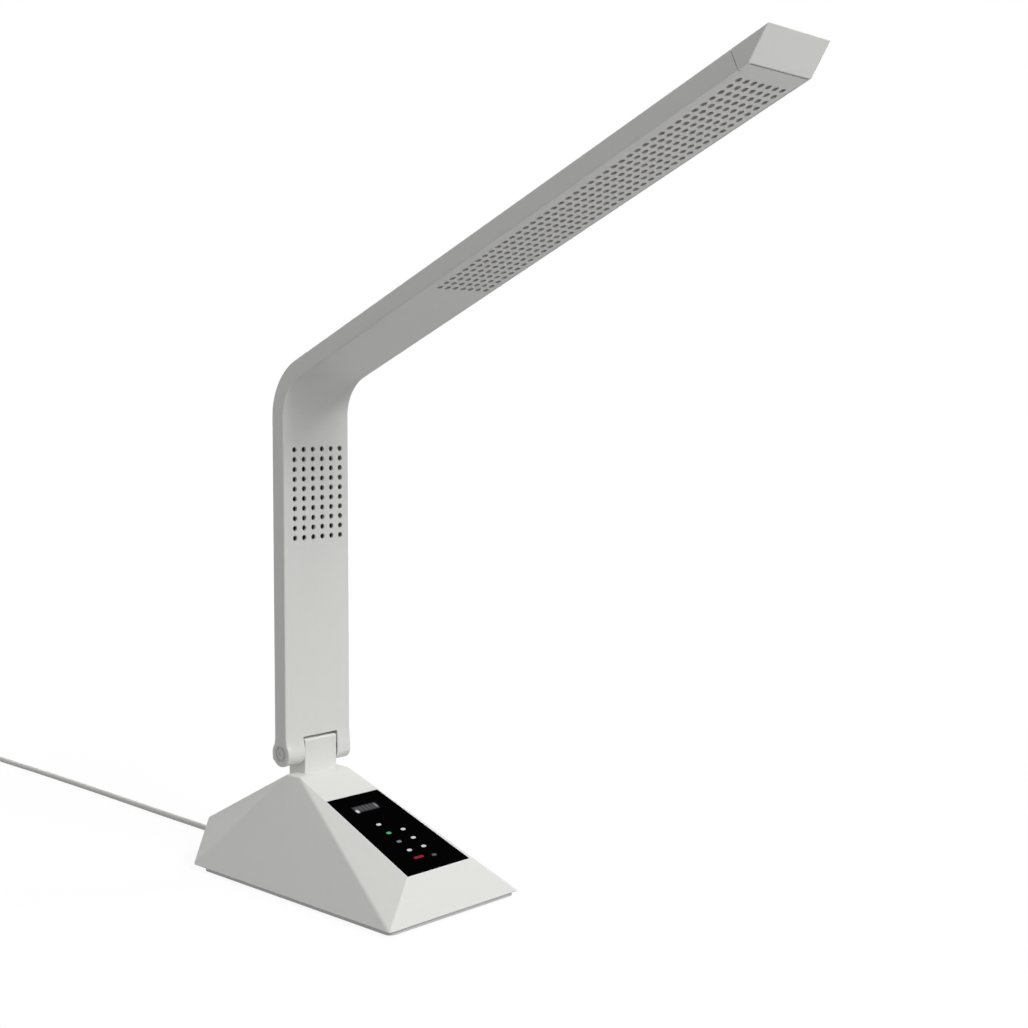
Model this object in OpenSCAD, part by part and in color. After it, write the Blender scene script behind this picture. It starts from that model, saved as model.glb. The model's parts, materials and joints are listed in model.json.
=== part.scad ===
// Desk lamp: faceted weighted base with a touch panel, and a bent arm with a perforated light head
// that tilts on the base. Millimetres. +Z is up and the head reaches towards -Y.
// The origin is on the desk under the middle of the base.

/* [Base] */
// Width of the base shell at its lower edge
base_w = 97; // [92:0.5:104]
// Length of the base shell at its lower edge
base_len = 172; // [166:1:184]
// Height of the shell's lower edge above the desk
foot_h = 3; // [2.6:0.1:4]
// Height of the flat top above the desk
top_z = 60.4; // [59:0.2:62.4]
// Width of the flat top
top_w = 36; // [35.4:0.2:39]
// Distance of the flat top's front edge behind the middle of the base
top_front = 24.4; // [23:0.2:25.4]
// Depth of the flat top
top_d = 11; // [9:0.2:14]
// Height of the crease at the foot of the front slope
crease_z = 24.2; // [22:0.2:26]
// Height of the crease at the foot of the rear slope
rear_crease_z = 22.8; // [21:0.2:25]
// Width of those creases
crease_w = 47; // [45:0.2:50]
// Setback of the front crease behind the front edge
front_setback = 13.2; // [11:0.2:16]
// Overhang of the rear crease behind the rear edge
rear_overhang = 19.2; // [16:0.2:21]
// Wall of the base shell
shell_wall = 2.4; // [2:0.1:2.8]
// Thickness of the shell under its flat top
top_wall = 7; // [6.8:0.1:7.6]

/* [Foot] */
// Thickness of the soft foot pad
pad_t = 1; // [0.6:0.1:1.4]
// Distance from the shell's lower edge to the foot plate, at the sides and front
plate_inset = 1.5; // [1:0.1:2.2]
// Distance from the shell's rear edge to the foot plate
plate_rear_inset = 8; // [6:0.5:12]
// Height of the plate's raised middle, which stands inside the shell
plate_step = 2; // [1.5:0.1:2.5]
// Length of the ballast slab
ballast_len = 116; // [100:1:118]
// Width of the ballast slab
ballast_w = 64; // [56:1:65]
// Height of the ballast slab
ballast_h = 14; // [10:0.5:15]
// Diameter of the shell's screw bosses
boss_d = 7; // [6:0.5:8]
// Shank diameter of the base screws
base_screw_d = 3; // [2.5:0.1:3.5]

/* [Hinge] */
// Distance of the hinge axis behind the middle of the base
hinge_y = 33.9; // [33:0.1:34.4]
// Height of the hinge axis above the desk
hinge_z = 73.3; // [72:0.1:76]
// Thickness of the round end of the arm's left cheek
barrel_d = 13; // [12.4:0.1:14]
// How far the left cheek's round end hangs below the hinge axis
barrel_drop = 1; // [0.5:0.1:1.5]
// Diameter of the disc on the left cheek's outer end
disc_d = 15.4; // [14.4:0.1:16]
// Thickness of that disc
disc_t = 2.2; // [1.6:0.1:3]
// Thickness of the round end of the arm's right cheek
plain_d = 11.8; // [11.6:0.1:13]
// How far the right cheek's round end hangs below the hinge axis
plain_drop = 3.3; // [2:0.1:4]
// Mean width of the arm's two cheeks beside the hinge post
cheek_w = 11.6; // [11:0.1:13]
// Shift of the hinge post and its slot to the right
post_shift = 1.5; // [0:0.1:2]
// Depth of the hinge post
post_d = 14.6; // [13.4:0.1:14.8]
// Height of the post's top above the hinge axis
post_rise = 7.2; // [6.8:0.1:7.4]
// Thickness of the post's flange under the shell's top
flange_t = 5; // [4:0.2:6]
// Thickness of the friction washers
washer_t = 0.5; // [0.4:0.05:0.8]
// Diameter of the hinge pin
pin_d = 4; // [3.5:0.1:4.5]
// Outer diameter of the bushes that the pin runs in
bush_d = 6.6; // [6:0.1:7]
// Diameter of the caps over the pin's ends
cap_d = 9.6; // [8.8:0.1:10]
// Thickness of those caps
cap_t = 1.5; // [1.2:0.1:2]
// Depth of the sockets that hold the pin's head and nut
socket_depth = 6.5; // [6.2:0.1:7.5]

/* [Arm] */
// Width of the arm
arm_w = 48; // [46.5:0.5:52]
// Thickness of the arm
arm_t = 10.2; // [10:0.1:11.5]
// Inner radius of the bend
bend_r = 24.6; // [18:0.1:32]
// Height of the bend's centre
bend_z = 266.6; // [260:0.2:290]
// Rise of the head above level
head_pitch = 23.6; // [10:0.2:40]
// Length of the head's underside from the bend to the nose
head_len = 325; // [321:0.2:345]
// How far the top of the nose stands out past the underside
nose_rake = 15; // [8:0.5:20]
// Length of the nose cap's side wall
nose_side = 6.4; // [5:0.1:8]
// Open joint between the cover's end and the nose
nose_gap = 0.7; // [0.4:0.1:1]
// Wall at the arm's back and top
back_wall = 2.2; // [1.8:0.1:2.4]
// Wall at the arm's sides, beside the cover
side_wall = 1.8; // [1.5:0.1:2.2]
// Width of the step that the cover rests on
rabbet_w = 1.4; // [1:0.1:2]
// Thickness of the cover
cover_t = 1.3; // [1.2:0.1:2]
// Seam between the cover and the arm shell
seam = 0.12; // [0.08:0.01:0.2]
// Solid length of the arm above the hinge slot
knuckle_len = 8; // [6:0.5:12]

/* [Holes] */
// Diameter of the light holes
hole_d = 3.2; // [2.4:0.1:3.4]
// Columns of light holes
hole_cols = 7; // [5:1:8]
// Rows of light holes
hole_rows = 41; // [20:1:41]
// Spacing of the light holes across the head
hole_pitch_x = 5.55; // [5:0.05:5.8]
// Spacing of the light holes along the head
hole_pitch_y = 5; // [4.6:0.05:5.05]
// Distance from the bend to the first row of light holes
hole_start = 113.1; // [106:0.1:114]
// Shift of the light holes to the right
hole_shift = 0.8; // [0:0.1:1]
// Diameter of the vent holes in the upright
vent_d = 3.1; // [2.2:0.1:3.4]
// Columns of vent holes
vent_cols = 6; // [4:1:6]
// Rows of vent holes
vent_rows = 10; // [6:1:11]
// Spacing of the vent holes across the upright
vent_pitch_x = 6.7; // [5.5:0.05:6.8]
// Spacing of the vent holes up the upright
vent_pitch_z = 5.6; // [4.5:0.1:6]
// Height of the middle of the vent holes
vent_z = 222.8; // [215:0.2:225]
// Shift of the vent holes to the right
vent_shift = 0.7; // [0:0.1:1]

/* [Lights] */
// Thickness of the heat spreader
spreader_t = 1.3; // [1:0.1:1.5]
// Thickness of the circuit boards
board_t = 1.2; // [1:0.1:1.6]
// Distance of the boards' long edges from the arm's sides
board_side = 5; // [4.5:0.1:7]
// Length of the driver board
driver_len = 72; // [62:1:76]
// Rows of light-emitting diodes
led_rows = 20; // [10:1:24]
// Columns of light-emitting diodes
led_cols = 3; // [2:1:4]
// Thickness of one diode's package
led_t = 0.7; // [0.5:0.1:1]
// Thickness of the flat lead between the boards
lead_t = 1.2; // [0.8:0.1:1.4]

/* [Panel] */
// Length of the touch panel up the slope
panel_len = 76; // [74:0.5:79]
// Distance of the panel's lower edge from the front crease
panel_start = 0.6; // [0.4:0.1:1.5]
// Distance of the panel's long edges from the slope's edges
panel_margin = 0.5; // [0.4:0.1:1]
// Thickness of the panel
panel_t = 1.2; // [1:0.1:1.6]
// Clearance round the panel in its recess
panel_fit = 0.15; // [0.1:0.05:0.3]
// Thickness of the ledge under the panel
ledge_t = 2.4; // [2:0.1:2.8]
// Distance of the panel opening from the slope's edges
opening_inset = 7.2; // [6.8:0.1:7.6]
// Distance of the touch board from the slope's edges
board_inset = 4.8; // [4.6:0.1:5.2]
// Width of the display window
display_w = 19.8; // [16:0.2:21]
// Height of the display window
display_h = 6.5; // [5:0.1:8]
// Place of the display window up the slope
display_s = 63.5; // [61:0.5:64.5]
// Place of the uppermost key up the slope
key_s = 46.8; // [45:0.2:48.6]
// Spacing of the keys up the slope
key_pitch = 8.9; // [8.2:0.1:9.1]
// Distance between the two columns of keys
key_gap = 10.7; // [10:0.1:12]
// Shift of the key columns to the right
key_shift = 0.5; // [0:0.1:1.5]
// Length of one key's lit window
key_len = 3.2; // [2.6:0.1:4]
// Width of one key's lit window
key_w = 2; // [1.6:0.1:2.4]
// Length of the red window
red_len = 7; // [5:0.5:7.5]

/* [Electronics] */
// Width of the main board
main_w = 48; // [40:1:52]
// Length of the main board
main_len = 44; // [38:1:46]
// Height of the stand-offs under the main board
standoff_h = 3; // [2:0.5:5]
// Diameter of the stand-offs
standoff_d = 5; // [4:0.5:6]

/* [Cord] */
// Diameter of the cord
cord_d = 3.6; // [3.4:0.1:3.7]
// Radius of the boss that the cord leaves through
cord_boss_r = 5.5; // [5:0.1:5.8]
// Width of the plug-in adapter
adapter_w = 40; // [34:1:48]
// Length of the adapter
adapter_len = 50; // [40:1:60]
// Diameter of the adapter's pins
prong_d = 4; // [3.5:0.1:4.5]
// Length of the adapter's pins
prong_len = 19; // [15:0.5:20]
// Middle radius of the coiled cord
coil_mid_r = 20; // [18:0.5:22]
// Turns of the coil
coil_turns = 9; // [7:1:11]
// Step of the coil from one turn to the next
coil_step = 5; // [4.6:0.1:5.4]
// Rise of the coil from one layer to the next
coil_rise = 4.2; // [4.1:0.1:4.8]
// Thickness of the strap that ties the coil
strap_t = 0.8; // [0.6:0.1:1.2]
// Width of that strap
strap_w = 8; // [6:0.5:9]

/* [Hidden] */
$fn = 48;
white = [0.87, 0.87, 0.86];
dark = [0.09, 0.09, 0.1];
steel = [0.62, 0.63, 0.65];
brass = [0.72, 0.58, 0.32];
board_green = [0.1, 0.3, 0.18];
eps = 0.01;
// Overshoot of a cut past the face that it opens
over = 1;
// Space left past the end of a screw or peg
bore_gap = 0.1;
screw_end_gap = 0.5;

// Clearances of the fits
screw_fit = 0.05;
pin_fit = 0.05;
press_fit = 0.02;
face_fit = 0.05;
plate_fit = 0.4;
post_fit = 0.15;
window_fit = 0.03;

// Side profile of the base, from the front edge over the top to the rear edge, as [y, z]
base_front = -base_len / 2;
base_rear = base_len / 2;
base_profile = [
    [base_front, foot_h],
    [base_front + front_setback, crease_z],
    [top_front, top_z],
    [top_front + top_d, top_z],
    [base_rear + rear_overhang, rear_crease_z],
    [base_rear, foot_h]];
base_widths = [base_w, crease_w, top_w, top_w, crease_w, base_w] / 2;
side_lean = (base_w - top_w) / 2 / (top_z - foot_h);
side_skin = shell_wall * sqrt(1 + side_lean * side_lean);
open_below = -1;
cavity_walls = [shell_wall, panel_t + ledge_t, top_wall, shell_wall, shell_wall, open_below];
cavity_profile = [for (i = [0:5]) shifted_corner(base_profile[(i + 5) % 6], base_profile[i],
    base_profile[(i + 1) % 6], cavity_walls[(i + 5) % 6], cavity_walls[i])];
cavity_widths = [for (i = [0:5])
    i == 1 || i == 4 ? crease_w / 2 - side_skin :
    base_w / 2 - (cavity_profile[i].y - foot_h) * side_lean - side_skin];

// The front slope: its foot, its angle and its half width at a distance up the slope
slope_foot = base_profile[1];
slope_run = base_profile[2] - slope_foot;
slope_deg = atan2(slope_run.y, slope_run.x);
slope_len = norm(slope_run);
panel_end = panel_start + panel_len;
panel_land = 3.5;
opening_start = panel_start + panel_land;
opening_end = panel_end - panel_land;
board_land = 1;
board_start = panel_start + board_land;
board_end = panel_end - board_land;
board_seat = panel_t + ledge_t;
board_gap = 0.02;
guide_fit = 0.1;
lcd_rim = 1.2;
key_rows = [for (i = [0:4]) key_s - i * key_pitch];
key_left = key_shift - key_gap / 2;
key_right = key_shift + key_gap / 2;
white_keys = [[key_left, key_rows[0]], [key_left, key_rows[2]], [key_left, key_rows[3]],
    [key_right, key_rows[1]], [key_right, key_rows[2]], [key_right, key_rows[3]],
    [key_right, key_rows[4]]];
green_key = [key_left, key_rows[1]];
red_shift = 0.6;
red_lift = 1.6;
red_key = [key_left + red_shift, key_rows[4] + red_lift];
all_keys = concat(white_keys, [green_key, red_key]);
led_size = 1.6;
led_height = 0.8;
led_pocket = 2.4;
led_pocket_depth = 2.2;
touch_inset = 6;
touch_spots = [for (x = [-1, 1]) for (s = [opening_start + touch_inset, opening_end - touch_inset])
    [x * (slope_half(s) - (opening_inset + board_inset) / 2), s]];
touch_screw_d = 1.4;
touch_head_d = 2.2;
touch_bite = 1.8;

// Foot plate, ballast and their screws
plate_w = base_w - 2 * plate_inset;
plate_front = base_front + plate_inset;
plate_rear = base_rear - plate_rear_inset;
plate_mid = (plate_front + plate_rear) / 2;
plate_len = plate_rear - plate_front;
plate_round = 4;
pad_inset = 3;
step_top = foot_h + plate_step;
step_w = 2 * cavity_widths[0] - 2 * plate_fit - 2 * (step_top - cavity_profile[0].y) * side_lean;
front_lean = front_setback / (crease_z - foot_h);
step_front = plate_fit
    + max(cavity_profile[0].x + (step_top - cavity_profile[0].y) * front_lean, plate_front);
step_rear = min(cavity_profile[5].x, plate_rear) - plate_fit;
boss_x = ballast_w / 2 + boss_d / 2;
boss_gap = 1.5;
boss_y = ballast_len / 2 + boss_d / 2 + boss_gap;
boss_spots = [for (x = [-boss_x, boss_x]) for (y = [-boss_y, boss_y]) [x, y]];
base_screw_head_d = base_screw_d * 1.85;
base_screw_head = 1.6;
base_screw_len = 6;
ballast_bottom = step_top;
ballast_top = ballast_bottom + ballast_h;
ballast_screw_inset = 18;
ballast_screw_y = ballast_len / 2 - ballast_screw_inset;
ballast_screw_len = 9;

// Main board on the ballast
board_edge = 4;
main_inset = 2;
main_y = ballast_len / 2 - main_len / 2 - main_inset;
standoff_spots = [for (x = [-1, 1]) for (y = [-1, 1])
    [x * (main_w / 2 - board_edge), main_y + y * (main_len / 2 - board_edge)]];
main_z = ballast_top + standoff_h;
main_top = main_z + board_t;
small_screw_d = 2;
small_head_d = 3.6;
small_head = 1.2;
board_screw_bite = 3.5;
// Blocks on the main board as [x, y, width, length, height] from its middle, and its round parts as [x, y]
main_blocks = [[-14, -9, 15, 13, 11], [-12, 8, 10, 6, 6], [2, 9, 8, 8, 1.4]];
main_cans = [[9, -8], [9, 3]];
main_can_d = 8;
main_can_h = 11;

// Hinge post and what runs across it
post_w = arm_w - 2 * (cheek_w + washer_t + 2 * face_fit);
post_proud = 0.4;
post_front = arm_t / 2 + post_proud;
post_back = post_d - post_front;
post_round = 1.5;
post_rear_round = 8;
post_steps = 8;
flange_top = top_z - top_wall;
flange_side = 4.6;
flange_reach = 2;
flange_w = post_w + 2 * flange_side;
flange_front = hinge_y - post_front - flange_reach;
flange_rear = cavity_profile[3].x - plate_fit;
post_screw_x = post_w / 2 + flange_side / 2;
post_screw_y = 4;
post_screw_bite = 3.4;
slot_half = arm_w / 2 - cheek_w;
slot_left = post_shift - slot_half;
slot_right = post_shift + slot_half;
slot_clear = 1.6;
slot_rise = post_rise + slot_clear;
slot_top = hinge_z + slot_rise;
cheek_steps = 48;
// Side outline of the post as [y, z] from the hinge axis
post_foot = flange_top - flange_t - hinge_z;
post_outline = concat(
    [[-post_front, post_foot]],
    [for (i = [0:post_steps]) let (a = 180 - 90 * i / post_steps)
        [post_round - post_front, post_rise - post_round] + post_round * [cos(a), sin(a)]],
    [for (i = [0:post_steps]) let (a = 90 - 90 * i / post_steps)
        [post_back - post_rear_round, post_rise - post_rear_round] + post_rear_round * [cos(a), sin(a)]],
    [[post_back, post_foot]]);
cap_fit = 0.1;
socket_d = cap_d + 2 * cap_fit;
cap_rim = 0.7;
cap_groove = 0.9;
cap_groove_depth = 0.8;
cap_dimple_r = 1.5;
cap_dimple = 0.6;
groove_r = cap_d / 2 - cap_rim;
socket_floor = arm_w / 2 - socket_depth;
cap_seat = arm_w / 2 - cap_t;
spring_t = 0.8;
nut_t = 3.2;
nut_flats = 7;
pin_head_t = 2.2;
pin_head_d = 7.5;
pin_end = 0.4;
washer_d = 10.4;

// The arm follows a path up the upright, round the bend and along the head
arm_front = hinge_y - arm_t / 2;
bend_y = arm_front - bend_r;
bend_angle = 90 - head_pitch;
bend_steps = 24;
cap_seam = head_len - nose_side;
nose_lip = 0.5;
cover_end = head_len - nose_lip - nose_gap;
inner_w = arm_w - 2 * side_wall - 2 * rabbet_w;
cover_space = arm_w - 2 * side_wall;
knuckle_top = slot_top + knuckle_len;
cavity_back = arm_t - back_wall;
board_front = cavity_back - spreader_t - board_t;
hole_end = hole_start + (hole_rows - 1) * hole_pitch_y;
led_margin = 3;
led_end_gap = 1;
led_start = hole_start - led_margin;
led_end = min(hole_end + led_margin, cap_seam - led_end_gap);
driver_z = vent_z - driver_len / 2;
driver_end = vent_z + driver_len / 2;
arm_board_w = arm_w - 2 * board_side;
lead_w = 8;
lead_lap = 7;
led_lead_gap = 1;
led_first = led_start + lead_lap + led_lead_gap;
led_long = 3.5;
led_wide = 2.8;
led_side = 8;
led_pitch = (arm_board_w - 2 * led_side) / (led_cols - 1);
led_tail = 2.5;
led_last = led_end - led_long - led_tail;
arm_screw_d = 2;
arm_screw_head_d = 3.6;
arm_screw_head = 0.9;
arm_screw_bite = 1.5;
arm_screw_len = board_t + spreader_t + arm_screw_bite;
arm_screw_inset = 3;
arm_screw_x = arm_board_w / 2 - arm_screw_inset;
led_screws = [for (x = [-1, 1]) for (i = [0:2])
    [x * arm_screw_x, led_start + board_edge + i * (led_end - led_start - 2 * board_edge) / 2]];
driver_spots = [for (x = [-1, 1]) for (z = [driver_z + board_edge, driver_end - board_edge])
    [x * arm_screw_x, z]];
// Blocks on the driver board as [x, y, width, length, height] from the middle of its lower edge
driver_blocks = [[-13, 6, 10, 12, 3], [3, 8, 9, 9, 2.6], [-12, 28, 7, 10, 1.4], [2, 30, 11, 7, 2.2],
    [-10, 46, 20, 6, 2.4]];
driver_boss_d = 5;
peg_d = 1.6;
peg_len = 6;
peg_n = arm_t / 2 + 1;
peg_x = arm_w / 2 - (side_wall + rabbet_w) / 2;

// Cord route from the gland along the desk, points chosen by hand
cord_route = [
    [3, 112, 9], [3, 115.5, 9], [3, 119, 8.9], [3.05, 122.5, 8.4], [3.1, 126, 7.5], [3.3, 129.5, 6.2],
    [3.6, 133, 4.7], [3.9, 136.5, 3.4], [4.3, 140, 2.5], [4.6, 144, 2], [4.9, 149, 1.9], [5.1, 156, 1.9],
    [5.2, 164, 1.9], [5.3, 173, 1.9], [5.4, 184, 1.9], [5.6, 195, 1.9],
    [5.8, 206, 1.9], [6.1, 217, 1.9], [6.4, 228, 1.9], [6.6, 239, 1.9], [6.9, 250, 1.9], [7.1, 261, 1.9],
    [7.3, 272, 1.9], [7.5, 283, 1.9], [7.7, 294, 1.9], [7.8, 305, 1.9], [7.9, 316, 1.9], [8, 327, 1.9],
    [8.1, 338, 1.9], [8.2, 349, 1.9], [8.2, 360, 1.9], [8.2, 371, 1.9], [8.1, 382, 1.9], [8, 393, 1.9],
    [7.9, 404, 1.9], [7.8, 414, 2.1], [7.7, 424, 2.5], [7.7, 434, 2.9], [7.7, 440, 3], [7.7, 446, 3]];
cord_r = cord_d / 2;
cord_sides = 8;
gland_x = cord_route[0].x;
gland_z = cord_route[0].z;
boss_end = base_rear + (gland_z + cord_boss_r - foot_h) / (rear_crease_z - foot_h) * rear_overhang + 1;
gland_in = base_rear - 2 * shell_wall;
gland_stem_r = 4;
gland_collar_r = 5.2;
gland_collar = 2;
gland_skin = 0.9;
gland_tip_r = cord_r + gland_skin;
gland_tail_r = 4.2;

// The coil: in, out, in and out again in four layers, with half a turn of climb between them
coil_layers = 4;
coil_climb = 0.5;
layer_turns = (coil_turns - coil_climb * (coil_layers - 1)) / coil_layers;
coil_in = coil_mid_r - coil_step * layer_turns / 2;
coil_out = coil_mid_r + coil_step * layer_turns / 2;
coil_rings = 24;
coil_sides = 6;
coil_lead_in = 4;
coil_start = cord_route[len(cord_route) - 1];
coil_centre = [coil_start.x - coil_out, coil_start.y + coil_lead_in];
coil_z = coil_start.z;
coil_top = coil_z + (coil_layers - 1) * coil_rise;
tail_len = 19;
coil_path = concat(
    [coil_start],
    [for (i = [0:coil_turns * coil_rings]) coil_point(i / coil_rings)],
    [[coil_start.x, coil_centre.y + cord_d, coil_top], [coil_start.x, coil_centre.y + tail_len, coil_top]]);
coil_wound = coil_turns * coil_rings + 1;
coil_far = [for (i = [1:coil_wound]) for (j = [i + coil_rings / 3:coil_wound])
    norm(coil_path[i] - coil_path[j])];
echo(coil_gap = min(coil_far) - cord_d);
nub_len = 10;
adapter_front = coil_centre.y + tail_len + nub_len;
adapter_h = 2 * coil_top;
prong_gap = 19;
prong_chamfer = 0.8;
strap_gap = 0.3;
strap_in = sqrt(pow(coil_in - cord_r, 2) - pow(strap_w / 2, 2)) - strap_gap;
strap_out = coil_out + cord_r + strap_gap;

// Corner between two profile edges after each is moved inwards by its own wall
function shifted_corner(p, q, r, wall_before, wall_after) =
    let (u = (q - p) / norm(q - p), v = (r - q) / norm(r - q),
        a = q + wall_before * [u.y, -u.x], b = q + wall_after * [v.y, -v.x],
        w = b - a)
    a + u * (w.x * v.y - w.y * v.x) / (u.x * v.y - u.y * v.x);

// Half width of the front slope at a distance up from its foot
function slope_half(s) = crease_w / 2 + (top_w - crease_w) / 2 * s / slope_len;

// Point of the coil after a number of turns
function coil_point(turns) =
    let (layer = min(floor(turns / (layer_turns + coil_climb)), coil_layers - 1),
        t = turns - layer * (layer_turns + coil_climb),
        inward = layer % 2 == 0,
        share = min(t / layer_turns, 1),
        climb = max(t - layer_turns, 0) / coil_climb,
        r = inward ? coil_out + (coil_in - coil_out) * share : coil_in + (coil_out - coil_in) * share,
        z = coil_z + coil_rise * (layer + (1 - cos(180 * climb)) / 2))
    [coil_centre.x + r * cos(360 * turns), coil_centre.y + r * sin(360 * turns), z];

// Line up the upright, round the bend and along the head, at a depth from the arm's front face
function arm_line(depth, start_z, end_t) =
    let (r = bend_r + depth, head_start = [bend_y + r * cos(bend_angle), bend_z + r * sin(bend_angle)])
    concat([[bend_y + r, start_z]],
        [for (i = [0:bend_steps]) let (a = bend_angle * i / bend_steps)
            [bend_y + r * cos(a), bend_z + r * sin(a)]],
        [head_start + end_t * [-sin(bend_angle), cos(bend_angle)]]);

// Side outline of a cheek as [y, z] from the hinge axis, which narrows to the arm at the slot's top
function cheek_outline(d, drop) =
    let (first = atan2(slot_rise, arm_t / 2) - acos(d / 2 / norm([arm_t / 2, slot_rise])),
        turn = 180 + 2 * first)
    concat([[arm_t / 2, slot_rise]],
        [for (i = [0:cheek_steps]) let (a = first - turn * i / cheek_steps)
            [d / 2 * cos(a), d / 2 * sin(a) - (a < 0 && a > -180 ? drop : 0)]],
        [[-arm_t / 2, slot_rise]]);

function unit(v) = v / norm(v);
function path_way(points, i) =
    i == 0 ? unit(points[1] - points[0]) :
    i == len(points) - 1 ? unit(points[i] - points[i - 1]) : unit(points[i + 1] - points[i - 1]);
function path_ring(points, i, radius, sides) =
    let (way = path_way(points, i), across = unit(cross(way, [0, 0, 1])), up = cross(across, way))
    [for (k = [0:sides - 1]) let (a = 360 * (k + 0.5) / sides)
        points[i] + radius * (cos(a) * across + sin(a) * up)];

// Closed tube along a list of points
module swept_tube(points, radius, sides) {
    rings = len(points);
    corners = [for (i = [0:rings - 1]) each path_ring(points, i, radius, sides)];
    walls = [for (i = [0:rings - 2]) for (k = [0:sides - 1])
        let (a = i * sides + k, b = i * sides + (k + 1) % sides)
        each [[a, b, b + sides], [a, b + sides, a + sides]]];
    first_end = [for (k = [1:sides - 2]) [0, k + 1, k]];
    last = (rings - 1) * sides;
    last_end = [for (k = [1:sides - 2]) [last, last + k, last + k + 1]];
    polyhedron(points = corners, faces = concat(walls, first_end, last_end));
}

// Solid with flat faces over a six-point side profile
module faceted_block(profile, halves) {
    corners = [for (side = [-1, 1]) for (i = [0:5]) [side * halves[i], profile[i].x, profile[i].y]];
    polyhedron(points = corners, faces = [
        [0, 1, 7, 6], [1, 2, 8, 7], [2, 3, 9, 8], [3, 4, 10, 9], [4, 5, 11, 10], [5, 0, 6, 11],
        [0, 5, 3, 2], [0, 2, 1], [5, 4, 3], [6, 8, 9, 11], [6, 7, 8], [11, 9, 10]]);
}

module rounded_plate(width, length, corner, height) {
    linear_extrude(height) {
        square([width - 2 * corner, length], center = true);
        square([width, length - 2 * corner], center = true);
        for (x = [-1, 1], y = [-1, 1])
            translate([x * (width / 2 - corner), y * (length / 2 - corner)]) circle(corner);
    }
}

// Local frame of the front slope: X across, Y up the slope, Z out of it
module on_slope() {
    translate([0, slope_foot.x, slope_foot.y]) rotate([slope_deg, 0, 0]) children();
}

// Plate between two depths under the front slope, drawn in from the slope's edges
module slope_plate(inset, start, end, low, high) {
    on_slope() translate([0, 0, low]) linear_extrude(high - low) polygon([
        [-slope_half(start) + inset, start], [slope_half(start) - inset, start],
        [slope_half(end) - inset, end], [-slope_half(end) + inset, end]]);
}

// Lit window with round ends
module stadium(length, width) {
    square([length - width, width], center = true);
    for (x = [-1, 1]) translate([x * (length - width) / 2, 0]) circle(width / 2);
}

module key_shape(spot, length) {
    on_slope() translate([spot.x, spot.y, -panel_t]) linear_extrude(panel_t) stadium(length, key_w);
}

module key_cut(spot, length) {
    on_slope() translate([spot.x, spot.y, -panel_t - over]) linear_extrude(panel_t + 2 * over)
        stadium(length + 2 * window_fit, key_w + 2 * window_fit);
}

module display_shape(grow, low, high) {
    on_slope() translate([0, display_s, low]) linear_extrude(high - low)
        square([display_w + 2 * grow, display_h + 2 * grow], center = true);
}

// Screw with its head's underside at z = 0 and its shank below
module screw(shank_d, length, head_d, head) {
    translate([0, 0, -length]) cylinder(d = shank_d, h = length + eps);
    difference() {
        cylinder(d = head_d, h = head);
        translate([0, 0, head / 2]) linear_extrude(head) {
            square([head_d * 0.6, head_d * 0.16], center = true);
            square([head_d * 0.16, head_d * 0.6], center = true);
        }
    }
}

// Cross-section of the arm between two depths from its front face, as [y, z]
module arm_band(near, far, start_z, end_t) {
    front_line = arm_line(near, start_z, end_t);
    back_line = arm_line(far, start_z, end_t);
    polygon(concat(front_line, [for (i = [len(back_line) - 1:-1:0]) back_line[i]]));
}

module across(width) {
    rotate([90, 0, 90]) linear_extrude(width, center = true) children();
}

// Local frame of the head: Y along it from the bend, Z up from its underside
module at_head() {
    translate([0, bend_y, bend_z]) rotate([head_pitch, 0, 180]) translate([0, 0, bend_r]) children();
}

// Local frame of the upright: Y up, Z back from its front face
module at_upright() {
    translate([0, arm_front, 0]) rotate([90, 0, 180]) children();
}

module light_holes(depth) {
    at_head() for (i = [0:hole_cols - 1], j = [0:hole_rows - 1])
        translate([(i - (hole_cols - 1) / 2) * hole_pitch_x - hole_shift,
            hole_start + j * hole_pitch_y, -over])
            cylinder(d = hole_d, h = depth + 2 * over, $fn = 24);
}

module vent_holes(depth) {
    at_upright() for (i = [0:vent_cols - 1], j = [0:vent_rows - 1])
        translate([(i - (vent_cols - 1) / 2) * vent_pitch_x - vent_shift,
            vent_z + (j - (vent_rows - 1) / 2) * vent_pitch_z, -over])
            cylinder(d = vent_d, h = depth + 2 * over, $fn = 24);
}

// Cylinder along X between two places
module x_rod(d, from, to) {
    translate([from, hinge_y, hinge_z]) rotate([0, 90, 0]) cylinder(d = d, h = to - from);
}

// Outline drawn from the hinge axis, carried along X between two places
module along_hinge(from, to) {
    translate([from, hinge_y, hinge_z]) rotate([90, 0, 90]) linear_extrude(to - from) children();
}

// Places of the post's screws
module at_post_screws() {
    for (x = [-1, 1], y = [-1, 1])
        translate([post_shift + x * post_screw_x, hinge_y + y * post_screw_y, 0]) children();
}

// Cylinder along Y between two places, on the cord's line
module cord_rod(r, from, to) {
    translate([gland_x, from, gland_z]) rotate([-90, 0, 0]) cylinder(r = r, h = to - from);
}

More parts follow.
